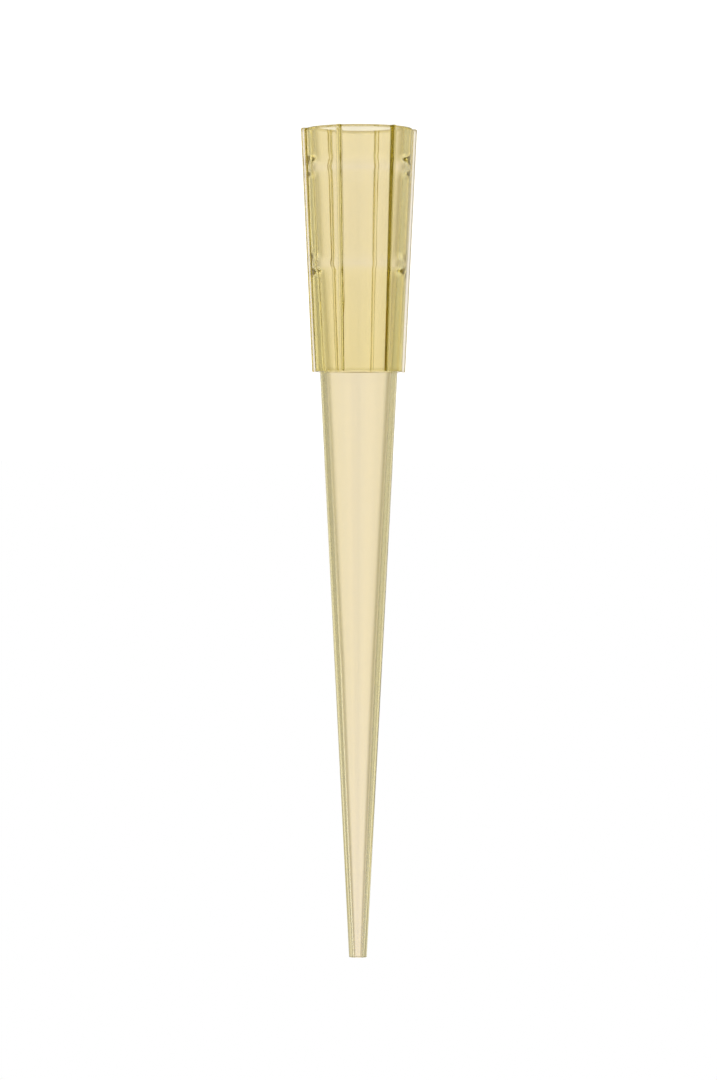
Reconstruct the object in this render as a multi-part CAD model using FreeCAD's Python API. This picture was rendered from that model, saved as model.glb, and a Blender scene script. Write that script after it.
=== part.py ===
import FreeCAD, Part

import math
import os

from FreeCAD import Vector

# A universal pipette tip of the 200 microlitre class, moulded in one piece from polypropylene.
# It stands on its mouth: z = 0 is the mouth rim, and +Z runs along the axis to the nose.
# Radii are taken from that axis. All sizes are in millimetres.

# Lengths along the axis
overall_length = 51.0
collar_length = 15.0

# Outside of the collar's wall, and the shoulder in from it to the cone
collar_mouth_radius = 3.31
collar_foot_radius = 2.68
shoulder_width = 0.29

# Ribs along the collar, flush with its rim and its foot
rib_count = 6
rib_mouth_width = 0.28
rib_foot_width = 0.26
rib_mouth_height = 0.30
rib_foot_height = 0.21
rib_root_depth = 0.12

# Wall of the seat, which tapers to fit the pipette's nozzle
seat_wall = 0.50

# Cylindrical lands in the seat, which the nozzle seals on: one behind the first groove, one before the second
land_length = 0.4

# Grooves inside the seat: the place of the middle of each, from the mouth, and its depth
groove_one_place = 2.42
groove_two_place = 8.39
groove_length = 1.4
groove_floor_length = 0.4
groove_one_depth = 0.12
groove_two_depth = 0.08

# Wall past the seat and at the collar's foot, where the bore steps in to the cone
throat_wall = 0.59
throat_foot_wall = 0.65
throat_taper_length = 0.8

# Wall of the cone as far as the bore's knee, and at the nose round the orifice
cone_wall = 0.40
cone_bore_knee_depth = 18.0
nose_wall = 0.295
orifice_radius = 0.25

# Rounded edges
rim_round = 0.12
rib_foot_round = 0.15
rib_edge_round = 0.11
collar_foot_round = 0.05
shoulder_round = 0.08
nose_round = 0.04
groove_round = 0.9


def between(start, end, share):
    return start + (end - start) * share


def rounded_outline(corners):
    """Closed wire in the XZ plane through (radius, z, rounding) corners, with an arc at each rounded one."""
    entries, exits = [], []
    for i, (radius, z, rounding) in enumerate(corners):
        corner = Vector(radius, 0, z)
        before = Vector(corners[i - 1][0], 0, corners[i - 1][1])
        after_corner = corners[(i + 1) % len(corners)]
        after = Vector(after_corner[0], 0, after_corner[1])
        back = (before - corner).normalize()
        ahead = (after - corner).normalize()
        inner_angle = back.getAngle(ahead)
        setback = rounding / math.tan(inner_angle / 2) if rounding else 0.0
        entries.append(corner + back * setback)
        exits.append(corner + ahead * setback)
    edges = []
    for i, (radius, z, rounding) in enumerate(corners):
        if rounding:
            corner = Vector(radius, 0, z)
            middle = (entries[i] + exits[i]) * 0.5
            half_chord = (exits[i] - entries[i]).Length / 2
            centre_gap = math.sqrt(rounding**2 - half_chord**2)
            towards_centre = (middle - corner).normalize()
            crest = middle + towards_centre * (centre_gap - rounding)
            edges.append(Part.Arc(entries[i], crest, exits[i]).toShape())
        edges.append(Part.LineSegment(exits[i], entries[(i + 1) % len(corners)]).toShape())
    return Part.Wire(edges)


def collar_radius(z):
    return between(collar_mouth_radius, collar_foot_radius, z / collar_length)


def cone_radius(z):
    cone_top_radius = collar_foot_radius - shoulder_width
    nose_radius = orifice_radius + nose_wall
    return between(cone_top_radius, nose_radius, (z - collar_length) / (overall_length - collar_length))


def seat_radius(z):
    return collar_radius(z) - seat_wall


def groove_floor_corners(place, depth):
    """The two ends of a groove's floor, which follows the outside of the collar."""
    floor_start = place - groove_floor_length / 2
    floor_end = place + groove_floor_length / 2
    return [
        (seat_radius(floor_start) + depth, floor_start, groove_round),
        (seat_radius(floor_end) + depth, floor_end, groove_round),
    ]


def land_corners(start):
    """The two ends of a cylindrical land, as wide as the seat at the land's middle."""
    radius = seat_radius(start + land_length / 2)
    return [(radius, start, 0), (radius, start + land_length, 0)]


def bore_corners():
    """The bore's outline from the mouth to the orifice."""
    groove_one_start = groove_one_place - groove_length / 2
    groove_one_end = groove_one_place + groove_length / 2
    groove_two_start = groove_two_place - groove_length / 2
    groove_two_end = groove_two_place + groove_length / 2
    throat_end = collar_length - throat_taper_length / 2
    cone_bore_start = collar_length + throat_taper_length / 2
    knee = collar_length + cone_bore_knee_depth
    return [
        (seat_radius(0), 0, rim_round),
        (seat_radius(groove_one_start), groove_one_start, 0),
        *groove_floor_corners(groove_one_place, groove_one_depth),
        *land_corners(groove_one_end),
        *land_corners(groove_two_start - land_length),
        *groove_floor_corners(groove_two_place, groove_two_depth),
        (collar_radius(groove_two_end) - throat_wall, groove_two_end, 0),
        (collar_radius(throat_end) - throat_foot_wall, throat_end, 0),
        (cone_radius(cone_bore_start) - cone_wall, cone_bore_start, 0),
        (cone_radius(knee) - cone_wall, knee, 0),
        (orifice_radius, overall_length, 0),
    ]


def outer_corners():
    """The outside of the wall from the nose back to the rim, without the ribs."""
    return [
        (cone_radius(overall_length), overall_length, nose_round),
        (cone_radius(collar_length), collar_length, shoulder_round),
        (collar_foot_radius, collar_length, collar_foot_round),
        (collar_mouth_radius, 0, rim_round),
    ]


def make_wall():
    outline = rounded_outline(bore_corners() + outer_corners())
    return Part.Face(outline).revolve(Vector(0, 0, 0), Vector(0, 0, 1), 360)


def make_rib():
    """One rib on the +X side, narrowing to its foot. Its root is sunk in the wall."""
    corners = [
        (collar_mouth_radius - rib_root_depth, 0, 0),
        (collar_foot_radius - rib_root_depth, collar_length, 0),
        (collar_foot_radius + rib_foot_height, collar_length, rib_foot_round),
        (collar_mouth_radius + rib_mouth_height, 0, rim_round),
    ]
    face = Part.Face(rounded_outline(corners))
    face.translate(Vector(0, -rib_mouth_width, 0))
    block = face.extrude(Vector(0, 2 * rib_mouth_width, 0))
    rib = block.common(make_rib_sides())
    return rib.makeFillet(rib_edge_round, long_outer_edges(rib))


def make_rib_sides():
    """A wedge as wide as the rib, to trim its two sides to."""
    reach = 2 * (collar_mouth_radius + rib_mouth_height)
    sides = [
        Vector(0, -rib_mouth_width / 2, 0),
        Vector(0, rib_mouth_width / 2, 0),
        Vector(0, rib_foot_width / 2, collar_length),
        Vector(0, -rib_foot_width / 2, collar_length),
    ]
    return Part.Face(Part.makePolygon(sides + sides[:1])).extrude(Vector(reach, 0, 0))


def long_outer_edges(rib):
    """The two edges along the rib's top face."""
    top_edges = []
    for edge in rib.Edges:
        middle = edge.CenterOfMass
        runs_along = edge.Length > collar_length / 2
        if runs_along and middle.x > collar_radius(middle.z):
            top_edges.append(edge)
    return top_edges


def make_ribs():
    ribs = []
    for i in range(rib_count):
        rib = make_rib()
        rib.rotate(Vector(0, 0, 0), Vector(0, 0, 1), 360 * i / rib_count)
        ribs.append(rib)
    return ribs


def make_pipette_tip():
    return make_wall().multiFuse(make_ribs()).removeSplitter()


os.makedirs("parts", exist_ok=True)
tip = make_pipette_tip()
if len(tip.Solids) != 1 or not tip.isValid():
    raise SystemExit("the tip is not one sound solid")
tip.Solids[0].exportStep("parts/pipette_tip.step")
centre = tip.Solids[0].CenterOfMass
print("volume mm3", round(tip.Volume, 2), "centre of mass z", round(centre.z, 2), "faces", len(tip.Faces))
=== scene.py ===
import math
import bpy
from mathutils import Matrix, Quaternion, Vector


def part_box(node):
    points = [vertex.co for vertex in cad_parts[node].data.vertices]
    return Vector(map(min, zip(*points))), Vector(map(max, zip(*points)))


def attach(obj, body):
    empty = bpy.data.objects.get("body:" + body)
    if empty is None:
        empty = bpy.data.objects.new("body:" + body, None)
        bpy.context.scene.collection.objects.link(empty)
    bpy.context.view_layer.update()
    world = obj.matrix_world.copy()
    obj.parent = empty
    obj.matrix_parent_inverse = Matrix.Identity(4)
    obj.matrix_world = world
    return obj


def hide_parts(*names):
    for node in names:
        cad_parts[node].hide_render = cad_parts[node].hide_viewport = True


# sizes are in millimetres here and go into Blender in metres
mm = 0.001

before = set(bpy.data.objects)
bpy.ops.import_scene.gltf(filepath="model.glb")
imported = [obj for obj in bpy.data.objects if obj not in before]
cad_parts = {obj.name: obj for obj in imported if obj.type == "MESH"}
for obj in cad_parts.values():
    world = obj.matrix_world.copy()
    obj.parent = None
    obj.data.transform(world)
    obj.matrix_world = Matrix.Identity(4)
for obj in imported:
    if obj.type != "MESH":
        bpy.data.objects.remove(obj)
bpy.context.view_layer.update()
tipLow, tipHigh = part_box("pipette_tip")
tipLength = (tipHigh[2] - tipLow[2]) / mm
print("frame loaded, tip", round(tipLength, 2), "mm long")


def clearSelection():
    for item in bpy.context.selected_objects:
        item.select_set(False)


def makeActive(piece):
    clearSelection()
    piece.select_set(True)
    bpy.context.view_layer.objects.active = piece


def editMode(kind):
    bpy.ops.object.mode_set(mode="EDIT")
    bpy.ops.mesh.select_mode(type=kind)


def objectMode():
    bpy.ops.object.mode_set(mode="OBJECT")


def clearMesh(mesh):
    for parts in (mesh.vertices, mesh.edges, mesh.polygons):
        for part in parts:
            part.select = False


def pickVerts(piece, test):
    # in object mode: the vertices that pass the test and nothing else
    clearMesh(piece.data)
    for vert in piece.data.vertices:
        vert.select = test(vert)


def pickFaces(piece, test):
    clearMesh(piece.data)
    for face in piece.data.polygons:
        face.select = test(face)


def between(start, end, part):
    return start + (end - start) * part


tipSizes = {
    "collarLength": 15.0,
    "collarMouth": 3.31,        # radius of the wall at the rim
    "collarFoot": 2.68,
    "shoulder": 0.29,           # from the collar's foot in to the cone

    "ribCount": 6,
    "ribMouthWidth": 0.28,
    "ribFootWidth": 0.26,
    "ribMouthHeight": 0.30,
    "ribFootHeight": 0.21,

    "seatWall": 0.50,           # from the rim to the second groove
    "landLength": 0.4,          # cylindrical lands between the two grooves, one beside each
    "grooveOne": 2.42,          # middle of each groove, from the rim
    "grooveTwo": 8.39,
    "grooveLength": 1.4,
    "grooveFloor": 0.4,         # length of its deepest part
    "grooveOneDepth": 0.12,
    "grooveTwoDepth": 0.08,
    "throatWall": 0.59,         # past the second groove
    "throatFootWall": 0.65,     # just before the bore narrows to the cone's
    "throatTaper": 0.8,         # length over which it narrows
    "coneWall": 0.40,
    "coneBoreKneeDepth": 18.0,  # from the collar's foot to where the wall starts to thin
    "noseWall": 0.295,
    "orifice": 0.25,            # radius

    "rimRound": 0.12,
    "footRound": 0.05,
    "shoulderRound": 0.08,
    "noseRound": 0.04,
    "grooveRound": 1.5,         # at both ends of a groove's floor
    "grooveEndRound": 1.8,      # where the groove starts and stops
    "throatRound": 0.5,
    "kneeRound": 4.0,
    "ribEdgeRound": 0.11,
    "ribRootRound": 0.08,

    "stepsPerTurn": 144,
    "stepsPerRib": 2,           # of those, under one rib
    "stepsPerCorner": 5,
    "stepsPerBend": 3,          # where the outline hardly turns
    "bendAngle": 2.5,           # radians inside a corner: from here on it is such a bend
    "stepsPerRibEdge": 5,
    "stepsPerRibRoot": 3,
    "weld": 0.002,              # points nearer than this become one
    "slack": 0.01,              # for finding faces and points by their place
    "smoothAngle": 35,          # degrees
}

# half of the strip of wall that one rib grows out of, as an angle
halfRib = math.tau / tipSizes["stepsPerTurn"] * tipSizes["stepsPerRib"] / 2


def collarRadius(z):
    return between(tipSizes["collarMouth"], tipSizes["collarFoot"], z / tipSizes["collarLength"])


def coneRadius(z):
    s = tipSizes
    top, nose = s["collarFoot"] - s["shoulder"], s["orifice"] + s["noseWall"]
    return between(top, nose, (z - s["collarLength"]) / (tipLength - s["collarLength"]))


def seatRadius(z):
    return collarRadius(z) - tipSizes["seatWall"]


def grooveFloor(place, depth):
    # the two ends of the floor, each as deep in the seat as the other
    s = tipSizes
    ends = [place - s["grooveFloor"] / 2, place + s["grooveFloor"] / 2]
    return [(seatRadius(z) + depth, z, s["grooveRound"]) for z in ends]


def wallOutline():
    # radius, height and rounding of each corner, from the rim up the bore and down the outside
    s = tipSizes
    half, land = s["grooveLength"] / 2, s["landLength"]
    oneStart, oneEnd = s["grooveOne"] - half, s["grooveOne"] + half
    twoStart, twoEnd = s["grooveTwo"] - half, s["grooveTwo"] + half
    landOne, landTwo = seatRadius(oneEnd + land / 2), seatRadius(twoStart - land / 2)
    throatEnd = s["collarLength"] - s["throatTaper"] / 2
    coneBoreStart = s["collarLength"] + s["throatTaper"] / 2
    knee = s["collarLength"] + s["coneBoreKneeDepth"]
    return [
        (seatRadius(0), 0, s["rimRound"]),
        (seatRadius(oneStart), oneStart, s["grooveEndRound"]),
        *grooveFloor(s["grooveOne"], s["grooveOneDepth"]),
        (landOne, oneEnd, s["grooveEndRound"]),
        (landOne, oneEnd + land, 0),
        (landTwo, twoStart - land, 0),
        (landTwo, twoStart, s["grooveEndRound"]),
        *grooveFloor(s["grooveTwo"], s["grooveTwoDepth"]),
        (collarRadius(twoEnd) - s["throatWall"], twoEnd, s["grooveEndRound"]),
        (collarRadius(throatEnd) - s["throatFootWall"], throatEnd, s["throatRound"]),
        (coneRadius(coneBoreStart) - s["coneWall"], coneBoreStart, s["throatRound"]),
        (coneRadius(knee) - s["coneWall"], knee, s["kneeRound"]),
        (s["orifice"], tipLength, 0),
        (coneRadius(tipLength), tipLength, s["noseRound"]),
        (coneRadius(s["collarLength"]), s["collarLength"], s["shoulderRound"]),
        (s["collarFoot"], s["collarLength"], s["footRound"]),
        (s["collarMouth"], 0, s["rimRound"]),
    ]


def roundedPoints(corners):
    # each rounded corner becomes a curve of a few points
    s = tipSizes
    points = []
    for i, (radius, z, rounding) in enumerate(corners):
        corner = Vector((radius, z))
        if not rounding:
            points.append(corner)
            continue
        back = (Vector(corners[i - 1][:2]) - corner).normalized()
        ahead = (Vector(corners[(i + 1) % len(corners)][:2]) - corner).normalized()
        inner = back.angle(ahead)
        steps = s["stepsPerCorner"] if inner < s["bendAngle"] else s["stepsPerBend"]
        setback = rounding / math.tan(inner / 2)
        start, end = corner + back * setback, corner + ahead * setback
        for k in range(steps + 1):
            t = k / steps
            points.append(start * (1 - t) ** 2 + corner * (2 * t * (1 - t)) + end * t ** 2)
    return points


def spinWall():
    # one point, drawn out along the outline and spun round the axis
    points = roundedPoints(wallOutline())
    clearSelection()
    bpy.ops.mesh.primitive_plane_add(size=mm, location=(0, 0, 0))
    piece = bpy.context.object
    piece.name = "moulded_tip"
    piece.data.name = "moulded_tip"
    editMode("VERT")
    bpy.ops.mesh.select_all(action="SELECT")
    bpy.ops.mesh.merge(type="CENTER")
    here = Vector((0, 0))
    for point in points:
        step = (point - here) * mm
        if point is points[0]:
            bpy.ops.transform.translate(value=(step.x, 0, step.y))
        else:
            bpy.ops.mesh.extrude_region_move(TRANSFORM_OT_translate={"value": (step.x, 0, step.y)})
        here = point
    bpy.ops.mesh.select_all(action="SELECT")
    bpy.ops.mesh.edge_face_add()
    bpy.ops.mesh.delete(type="ONLY_FACE")
    bpy.ops.mesh.select_all(action="SELECT")
    bpy.ops.mesh.spin(steps=tipSizes["stepsPerTurn"], angle=math.tau, center=(0, 0, 0), axis=(0, 0, 1))
    bpy.ops.mesh.select_all(action="SELECT")
    bpy.ops.mesh.remove_doubles(threshold=tipSizes["weld"] * mm)
    bpy.ops.mesh.normals_make_consistent(inside=False)
    objectMode()
    print("wall spun,", len(piece.data.polygons), "faces")
    return piece


def ribAngle(co):
    # signed angle from the middle of the nearest rib
    pitch = math.tau / tipSizes["ribCount"]
    angle = math.atan2(co.y, co.x) % pitch
    return angle if angle < pitch / 2 else angle - pitch


def extrudeRibs(piece):
    # extrudes the strips of wall under the ribs by nothing, and returns the vertices that can now go out
    s = tipSizes

    def isRibFace(face):
        co = face.center
        onOutside = math.hypot(co.x, co.y) > (collarRadius(co.z / mm) - s["rimRound"] - s["slack"]) * mm
        onCollar = onOutside and co.z < s["collarLength"] * mm
        upright = abs(face.normal.z) < 1 - s["slack"]
        return onCollar and upright and abs(ribAngle(co)) < halfRib

    pickFaces(piece, isRibFace)
    editMode("FACE")
    bpy.ops.mesh.extrude_region_move()
    bpy.ops.mesh.select_mode(type="VERT")
    objectMode()
    return {v.index for v in piece.data.vertices if v.select}


def shapeRibEnds(piece, ends, wall, height, width):
    # one end of all the ribs goes out to its height, then each of them takes its width
    heightFactor = (wall + height) / wall
    widthFactor = math.asin(width / 2 / (wall + height)) / halfRib
    pickVerts(piece, lambda v: v.index in ends)
    editMode("VERT")
    bpy.ops.transform.resize(value=(heightFactor, heightFactor, 1), center_override=(0, 0, 0))
    objectMode()
    for rib in range(tipSizes["ribCount"]):
        turn = math.tau * rib / tipSizes["ribCount"]
        along = Vector((math.cos(turn), math.sin(turn)))
        pickVerts(piece, lambda v: v.index in ends and v.co.xy.angle(along) < 2 * halfRib)
        editMode("VERT")
        bpy.ops.transform.resize(value=(1, widthFactor, 1), center_override=(0, 0, 0),
                                 orient_type="GLOBAL", orient_matrix_type="GLOBAL",
                                 orient_matrix=Matrix.Rotation(turn, 3, "Z"))
        objectMode()


def bevelPicked(rounding, steps):
    editMode("VERT")
    bpy.ops.mesh.select_mode(type="EDGE")
    bpy.ops.mesh.bevel(offset=rounding * mm, segments=steps, affect="EDGES")
    objectMode()


def roundRibEdges(piece, raised):
    # the two long edges of each rib, so all that was raised but the line along its middle
    s = tipSizes
    narrowest = math.asin(s["ribFootWidth"] / 2 / (s["collarMouth"] + s["ribMouthHeight"]))
    pickVerts(piece, lambda v: v.index in raised and abs(ribAngle(v.co)) > narrowest / 2)
    bevelPicked(s["ribEdgeRound"], s["stepsPerRibEdge"])


def fillRibRoots(piece):
    # both sides of each rib where it meets the wall, to just short of the rounding at the collar's foot
    s = tipSizes
    rootEnd = (s["collarLength"] - s["footRound"] - s["slack"]) * mm

    def isRoot(v):
        radius = math.hypot(v.co.x, v.co.y) / mm
        onWall = abs(radius - collarRadius(v.co.z / mm)) < s["rimRound"] + s["slack"]
        onOutside = radius > seatRadius(v.co.z / mm) + s["seatWall"] / 2
        besideRib = abs(abs(ribAngle(v.co)) / halfRib - 1) < s["slack"]
        return onWall and onOutside and besideRib and v.co.z < rootEnd

    pickVerts(piece, isRoot)
    bevelPicked(s["ribRootRound"], s["stepsPerRibRoot"])


def raiseRibs(piece):
    s = tipSizes
    raised = extrudeRibs(piece)
    middle = s["collarLength"] / 2 * mm
    mouthEnds = {i for i in raised if piece.data.vertices[i].co.z < middle}
    shapeRibEnds(piece, mouthEnds, s["collarMouth"], s["ribMouthHeight"], s["ribMouthWidth"])
    shapeRibEnds(piece, raised - mouthEnds, s["collarFoot"], s["ribFootHeight"], s["ribFootWidth"])
    roundRibEdges(piece, raised)
    fillRibRoots(piece)
    print("ribs raised,", len(piece.data.polygons), "faces")


def makeTip():
    piece = spinWall()
    raiseRibs(piece)
    makeActive(piece)
    bpy.ops.object.shade_smooth_by_angle(angle=math.radians(tipSizes["smoothAngle"]))
    bpy.ops.object.modifier_add(type="WEIGHTED_NORMAL")
    weighted = piece.modifiers[-1]
    weighted.keep_sharp = True
    bpy.ops.object.modifier_apply(modifier=weighted.name)
    print("tip smoothed")
    return piece


plasticLook = {
    "ior": 1.49,
    "tint": (1, 0.955, 1.0, 1),
    "gloss": (1, 0.88, 0.45, 1),        # tints what the surface mirrors head on
    "absorb": (0.92, 0.835, 0.0, 1),    # the red, green and blue that it lets pass
    "density": 610.0,                   # per metre

    "milk": (1.0, 0.82, 0.02, 1),       # colour that the moulded skin scatters
    "paintedEdgeShade": (0.34, 0.26, 0.05, 1),  # painted shade: dark olive colour that the skin takes along the edges of the rim and of the collar's foot
    "milkThrough": 0.5,                 # part of the scattered light that goes on inwards
    # the skin by millimetres from the rim: share of the light that it scatters, and its colour; the dark
    # stops at the rim and at the collar's foot are painted shade
    "skinAndEdgeShade": [
        # painted shade: the dark band round the rim
        (0.04, 0.45, "paintedEdgeShade"),
        (0.08, 0.065, "milk"),
        (14.93, 0.065, "milk"),
        # painted shade: the dark band round the collar's foot
        (14.96, 0.25, "paintedEdgeShade"),
        (15.02, 0.25, "paintedEdgeShade"),
        (15.05, 0.045, "milk"),
    ],

    "streaks": (2500, 2500, 60),        # per metre: fine round the tip, long along it
    "streakDetail": 2.0,
    "streakRange": (0.3, 0.7),          # part of the noise that shows in the gloss
    "roughness": (0.01, 0.03),          # from the smooth to the dull parts of the mould
    "streakDepth": 0.002,
}


def grey(level):
    return (level, level, level, 1)


def colourRamp(tree, stops):
    # place from 0 to 1 and colour of each stop
    node = tree.nodes.new("ShaderNodeValToRGB")
    elements = node.color_ramp.elements
    while len(elements) > 1:
        elements.remove(elements[-1])
    for i, (place, colour) in enumerate(stops):
        item = elements[0] if i == 0 else elements.new(place)
        item.position = place
        item.color = colour
    return node


def milkySkinAndEdgeShade(tree, coords, body):
    # lays the thin milky skin over the clear body, with its colour and share changing along the tip, and
    # paints dark shade along the edges of the rim and of the collar's foot
    look = plasticLook
    split = tree.nodes.new("ShaderNodeSeparateXYZ")
    along = tree.nodes.new("ShaderNodeMapRange")
    along.inputs["From Max"].default_value = tipLength * mm
    # these ramps also paint the dark shade along the rim and the collar's foot
    colour = colourRamp(tree, [(z / tipLength, look[kind]) for z, level, kind in look["skinAndEdgeShade"]])
    share = colourRamp(tree, [(z / tipLength, grey(level)) for z, level, kind in look["skinAndEdgeShade"]])
    tree.links.new(coords.outputs["Object"], split.inputs["Vector"])
    tree.links.new(split.outputs["Z"], along.inputs["Value"])
    tree.links.new(along.outputs["Result"], colour.inputs["Fac"])
    tree.links.new(along.outputs["Result"], share.inputs["Fac"])

    front = tree.nodes.new("ShaderNodeBsdfDiffuse")
    through = tree.nodes.new("ShaderNodeBsdfTranslucent")
    milk = tree.nodes.new("ShaderNodeMixShader")
    milk.inputs[0].default_value = look["milkThrough"]
    skinAndEdgeShade = tree.nodes.new("ShaderNodeMixShader")
    tree.links.new(colour.outputs["Color"], front.inputs["Color"])
    tree.links.new(colour.outputs["Color"], through.inputs["Color"])
    tree.links.new(front.outputs[0], milk.inputs[1])
    tree.links.new(through.outputs[0], milk.inputs[2])
    tree.links.new(share.outputs["Color"], skinAndEdgeShade.inputs[0])
    tree.links.new(body.outputs["BSDF"], skinAndEdgeShade.inputs[1])
    tree.links.new(milk.outputs[0], skinAndEdgeShade.inputs[2])
    return skinAndEdgeShade


def mouldStreaks(tree, coords, body):
    # long faint streaks that the mould leaves, in the relief and the gloss of the body
    look = plasticLook
    stretch = tree.nodes.new("ShaderNodeMapping")
    stretch.inputs["Scale"].default_value = look["streaks"]
    grain = tree.nodes.new("ShaderNodeTexNoise")
    grain.inputs["Scale"].default_value = 1.0
    grain.inputs["Detail"].default_value = look["streakDetail"]
    dull = tree.nodes.new("ShaderNodeMapRange")
    dull.inputs["From Min"].default_value = look["streakRange"][0]
    dull.inputs["From Max"].default_value = look["streakRange"][1]
    dull.inputs["To Min"].default_value = look["roughness"][0]
    dull.inputs["To Max"].default_value = look["roughness"][1]
    relief = tree.nodes.new("ShaderNodeBump")
    relief.inputs["Strength"].default_value = 1.0
    relief.inputs["Distance"].default_value = look["streakDepth"] * mm
    tree.links.new(coords.outputs["Object"], stretch.inputs["Vector"])
    tree.links.new(stretch.outputs["Vector"], grain.inputs["Vector"])
    tree.links.new(grain.outputs["Fac"], dull.inputs["Value"])
    tree.links.new(grain.outputs["Fac"], relief.inputs["Height"])
    tree.links.new(dull.outputs["Result"], body.inputs["Roughness"])
    tree.links.new(relief.outputs["Normal"], body.inputs["Normal"])


def amberPlastic():
    look = plasticLook
    mat = bpy.data.materials.new("amberPlastic")
    mat.use_nodes = True
    tree = mat.node_tree
    tree.nodes.clear()
    out = tree.nodes.new("ShaderNodeOutputMaterial")
    coords = tree.nodes.new("ShaderNodeTexCoord")
    body = tree.nodes.new("ShaderNodeBsdfPrincipled")
    body.inputs["Base Color"].default_value = look["tint"]
    body.inputs["Specular Tint"].default_value = look["gloss"]
    body.inputs["Transmission Weight"].default_value = 1.0
    body.inputs["IOR"].default_value = look["ior"]
    depth = tree.nodes.new("ShaderNodeVolumeAbsorption")
    depth.inputs["Color"].default_value = look["absorb"]
    depth.inputs["Density"].default_value = look["density"]
    mouldStreaks(tree, coords, body)
    skinAndEdgeShade = milkySkinAndEdgeShade(tree, coords, body)
    tree.links.new(skinAndEdgeShade.outputs[0], out.inputs["Surface"])
    tree.links.new(depth.outputs["Volume"], out.inputs["Volume"])
    print("plastic mixed")
    return mat


studio = {
    "cameraAzimuth": 8.4,
    "eyeHeight": 25.33,         # above the mouth
    "distance": 285.0,
    "lens": 154.3275,
    "sensor": 36.0,
    "roll": 180.08,             # degrees: half a turn puts the mouth at the top, the rest is a slight lean
    "clip": (10.0, 10000.0),    # nearest and farthest that the camera sees

    # pale windows round the tip, by degrees to the right of where the camera looks:
    # middle, width and brightness
    "windows": [(-105, 100, 1.0), (-1, 33, 0.97), (38, 24, 0.65), (85, 40, 0.6), (150, 50, 1.0)],
    "windowEdge": 10,           # degrees over which a window fades
    "betweenWindows": 0.45,
    # brightness of the room above and below the windows, by degrees of elevation
    "heights": [(-90, 1.0), (0, 1.0), (1, 0.85), (30, 0.9), (50, 1.3)],
    "windowReach": (10, 22),    # degrees up and down where the windows start to fade, and are gone

    "floorRadius": 1200.0,
    "floorSides": 96,
    "floorColour": 0.3,
    "floorGlow": 0.9,
}


def windowStops():
    # places round the ring from 0 to 1, where 0.5 is straight behind the tip
    soft, dim = studio["windowEdge"] / 2, studio["betweenWindows"]
    stops = []
    for middle, width, level in studio["windows"]:
        left, right = middle - width / 2, middle + width / 2
        stops += [(left - soft, dim), (left + soft, level), (right - soft, level), (right + soft, dim)]
    return [(0.5 + angle / 360, grey(level)) for angle, level in stops]


def riseOf(angle):
    # place up the sky from 0 to 1, where 0.5 is level
    return 0.5 + math.sin(math.radians(angle)) / 2


def windowRing(tree, coords):
    # the windows, by the way round the horizon
    turn = tree.nodes.new("ShaderNodeMapping")
    turn.inputs["Rotation"].default_value[2] = -math.radians(90 + studio["cameraAzimuth"])
    radial = tree.nodes.new("ShaderNodeTexGradient")
    radial.gradient_type = "RADIAL"
    ring = colourRamp(tree, windowStops())
    tree.links.new(coords.outputs["Generated"], turn.inputs["Vector"])
    tree.links.new(turn.outputs["Vector"], radial.inputs["Vector"])
    tree.links.new(radial.outputs["Fac"], ring.inputs["Fac"])
    return ring


def roomLight(tree):
    # the windows near the horizon, and the plain room above and below them
    coords = tree.nodes.new("ShaderNodeTexCoord")
    ring = windowRing(tree, coords)
    split = tree.nodes.new("ShaderNodeSeparateXYZ")
    slope = tree.nodes.new("ShaderNodeMapRange")
    slope.inputs["From Min"].default_value = -1
    shade = colourRamp(tree, [(riseOf(angle), grey(level)) for angle, level in studio["heights"]])
    near, far = studio["windowReach"]
    reachStops = [(-far, 1), (-near, 0), (near, 0), (far, 1)]
    reach = colourRamp(tree, [(riseOf(angle), grey(level)) for angle, level in reachStops])
    both = tree.nodes.new("ShaderNodeMix")
    both.data_type = "RGBA"     # its two colours are inputs 6 and 7, and the mixed one is output 2
    tree.links.new(coords.outputs["Generated"], split.inputs["Vector"])
    tree.links.new(split.outputs["Z"], slope.inputs["Value"])
    tree.links.new(slope.outputs["Result"], shade.inputs["Fac"])
    tree.links.new(slope.outputs["Result"], reach.inputs["Fac"])
    tree.links.new(reach.outputs["Color"], both.inputs[0])
    tree.links.new(ring.outputs["Color"], both.inputs[6])
    tree.links.new(shade.outputs["Color"], both.inputs[7])
    return both.outputs[2]


def studioWorld():
    world = bpy.data.worlds.new("studioWorld")
    bpy.context.scene.world = world
    world.use_nodes = True
    tree = world.node_tree
    tree.nodes.clear()
    out = tree.nodes.new("ShaderNodeOutputWorld")
    room = tree.nodes.new("ShaderNodeBackground")
    white = tree.nodes.new("ShaderNodeBackground")
    white.inputs["Color"].default_value = grey(1)
    path = tree.nodes.new("ShaderNodeLightPath")
    pick = tree.nodes.new("ShaderNodeMixShader")    # the camera itself sees plain white
    tree.links.new(roomLight(tree), room.inputs["Color"])
    tree.links.new(path.outputs["Is Camera Ray"], pick.inputs[0])
    tree.links.new(room.outputs[0], pick.inputs[1])
    tree.links.new(white.outputs[0], pick.inputs[2])
    tree.links.new(pick.outputs[0], out.inputs["Surface"])
    print("room lit,", len(studio["windows"]), "windows")


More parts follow.
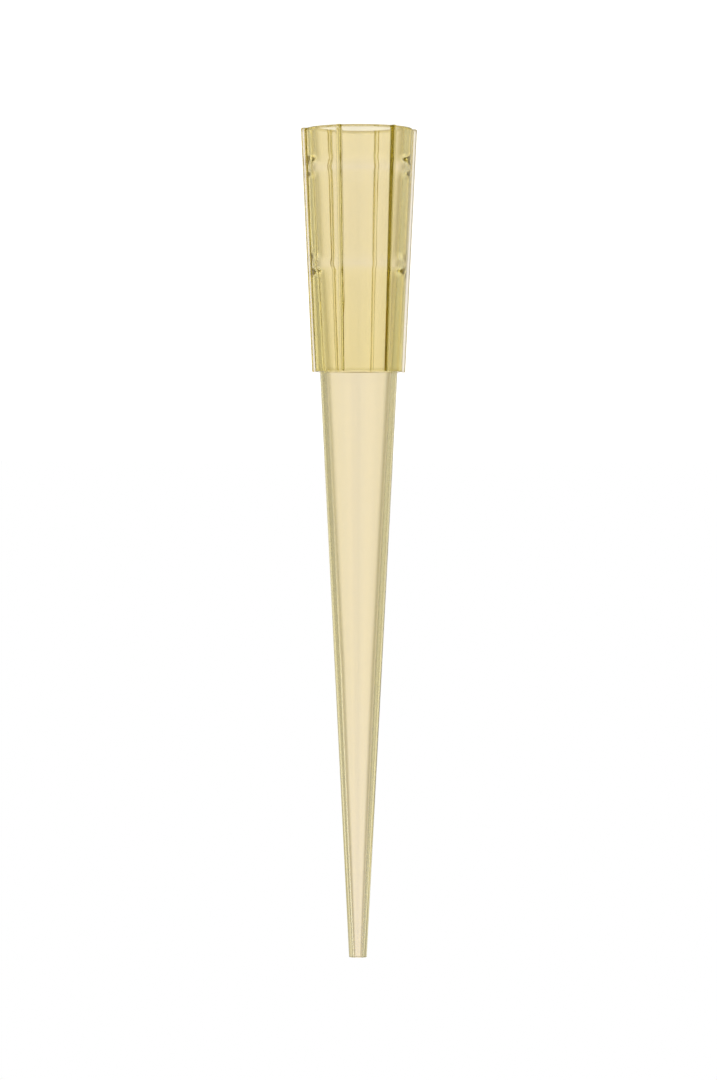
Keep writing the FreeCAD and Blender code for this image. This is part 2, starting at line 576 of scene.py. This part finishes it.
def paleFloor():
    # pale to the camera and to matt surfaces, and clear to what the plastic mirrors or lets through
    mat = bpy.data.materials.new("paleFloor")
    mat.use_nodes = True
    tree = mat.node_tree
    tree.nodes.clear()
    out = tree.nodes.new("ShaderNodeOutputMaterial")
    path = tree.nodes.new("ShaderNodeLightPath")
    matte = tree.nodes.new("ShaderNodeBsdfDiffuse")
    matte.inputs["Color"].default_value = grey(studio["floorColour"])
    glow = tree.nodes.new("ShaderNodeEmission")
    glow.inputs["Strength"].default_value = studio["floorGlow"]
    pale = tree.nodes.new("ShaderNodeAddShader")
    clear = tree.nodes.new("ShaderNodeBsdfTransparent")
    viaPlastic = tree.nodes.new("ShaderNodeMath")
    viaPlastic.operation = "MAXIMUM"
    pick = tree.nodes.new("ShaderNodeMixShader")
    tree.links.new(path.outputs["Is Transmission Ray"], viaPlastic.inputs[0])
    tree.links.new(path.outputs["Is Glossy Ray"], viaPlastic.inputs[1])
    tree.links.new(matte.outputs[0], pale.inputs[0])
    tree.links.new(glow.outputs[0], pale.inputs[1])
    tree.links.new(viaPlastic.outputs[0], pick.inputs[0])
    tree.links.new(pale.outputs[0], pick.inputs[1])
    tree.links.new(clear.outputs[0], pick.inputs[2])
    tree.links.new(pick.outputs[0], out.inputs["Surface"])
    return mat


def makeFloor():
    clearSelection()
    bpy.ops.mesh.primitive_circle_add(vertices=studio["floorSides"], radius=studio["floorRadius"] * mm,
                                      fill_type="NGON", location=(0, 0, 0))
    floor = bpy.context.object
    floor.name = "floor"
    floor.data.materials.append(paleFloor())
    print("floor laid")


def makeCamera():
    turn = math.radians(studio["cameraAzimuth"])
    back = Vector((math.sin(turn), -math.cos(turn), 0))
    data = bpy.data.cameras.new("camera")
    data.sensor_width = studio["sensor"]
    data.lens = studio["lens"]
    data.clip_start, data.clip_end = [reach * mm for reach in studio["clip"]]
    camera = bpy.data.objects.new("camera", data)
    bpy.context.collection.objects.link(camera)
    camera.location = back * studio["distance"] * mm + Vector((0, 0, studio["eyeHeight"] * mm))
    camera.rotation_mode = "QUATERNION"
    look = (-back).to_track_quat("-Z", "Y")
    camera.rotation_quaternion = look @ Quaternion((0, 0, 1), math.radians(studio["roll"]))
    bpy.context.scene.camera = camera
    print("camera set,", studio["distance"], "mm away")


tip = makeTip()
tip.data.materials.append(amberPlastic())
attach(tip, "root")
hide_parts("pipette_tip")

studioWorld()
makeFloor()
makeCamera()
bpy.context.scene.view_settings.view_transform = "Standard"
